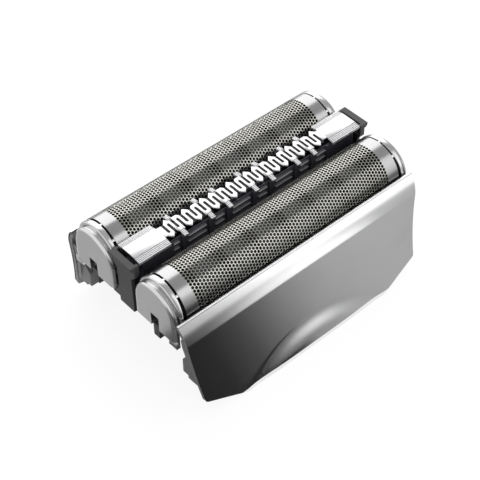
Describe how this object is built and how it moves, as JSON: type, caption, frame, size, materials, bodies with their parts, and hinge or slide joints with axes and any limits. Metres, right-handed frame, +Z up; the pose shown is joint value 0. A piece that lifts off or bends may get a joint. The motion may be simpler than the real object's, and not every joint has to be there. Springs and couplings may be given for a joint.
{
  "type": "shaver foil head",
  "caption": "Floating foil head for an electric shaver: arched perforated foils, a serpentine trimmer between them and chromed skirts with a thumb scoop.",
  "frame": {"origin": "middle of the head on the plane of the skirts' lower edges", "axes": "+X along the foils, +Y from the front skirt to the rear skirt, +Z up to the foils"},
  "size_m": [0.0454, 0.0328, 0.0211],
  "materials": {
    "frame_grey": "matte",
    "centre_dark": "matte",
    "skirt_chrome": "satin",
    "foil_steel": "polished",
    "cradle_dark": "matte",
    "cap_grey": "satin",
    "spring_steel": "bright",
    "blade_steel": "ground",
    "cutter_plastic": "matte",
    "socket_plastic": "matte",
    "comb_steel": "bright",
    "trimmer_black": "gloss"
  },
  "bodies": {
    "frame": {"cassette_frame": "frame_grey", "centre_frame": "centre_dark", "front_cover": "skirt_chrome", "rear_cover": "skirt_chrome", "front_float_springs": "spring_steel", "rear_float_springs": "spring_steel", "trimmer_springs": "spring_steel"},
    "trimmer": {"trimmer_guard": "comb_steel", "trimmer_carrier": "trimmer_black"},
    "trimmer_shuttle": {"trimmer_blade": "blade_steel", "trimmer_slider": "cutter_plastic"},
    "front_cartridge": {"front_foil": "foil_steel", "front_cradle": "cradle_dark", "front_left_cap": "cap_grey", "front_right_cap": "cap_grey"},
    "front_cutter": {"front_blades": "blade_steel", "front_cutter_carrier": "cutter_plastic", "front_drive_socket": "socket_plastic"},
    "rear_cartridge": {"rear_foil": "foil_steel", "rear_cradle": "cradle_dark", "rear_left_cap": "cap_grey", "rear_right_cap": "cap_grey"},
    "rear_cutter": {"rear_blades": "blade_steel", "rear_cutter_carrier": "cutter_plastic", "rear_drive_socket": "socket_plastic"}
  },
  "joints": [
    {"name": "front_float", "type": "slide", "parent": "frame", "child": "front_cartridge", "axis": [0, 0, 1], "range_m": [-0.0015, 0], "stiffness_N_per_m": 250, "springref_m": 0.001, "deforming": ["front_float_springs"]},
    {"name": "front_cutter_swing", "type": "slide", "parent": "front_cartridge", "child": "front_cutter", "axis": [1, 0, 0], "range_m": [-0.001, 0.001]},
    {"name": "rear_float", "type": "slide", "parent": "frame", "child": "rear_cartridge", "axis": [0, 0, 1], "range_m": [-0.0015, 0], "stiffness_N_per_m": 250, "springref_m": 0.001, "deforming": ["rear_float_springs"]},
    {"name": "rear_cutter_swing", "type": "slide", "parent": "rear_cartridge", "child": "rear_cutter", "axis": [1, 0, 0], "range_m": [-0.001, 0.001]},
    {"name": "trimmer_float", "type": "slide", "parent": "frame", "child": "trimmer", "axis": [0, 0, 1], "range_m": [-0.0012, 0], "stiffness_N_per_m": 200, "springref_m": 0.001, "deforming": ["trimmer_springs"]},
    {"name": "trimmer_blade_swing", "type": "slide", "parent": "trimmer", "child": "trimmer_shuttle", "axis": [1, 0, 0], "range_m": [-0.0007, 0.0007]}
  ]
}
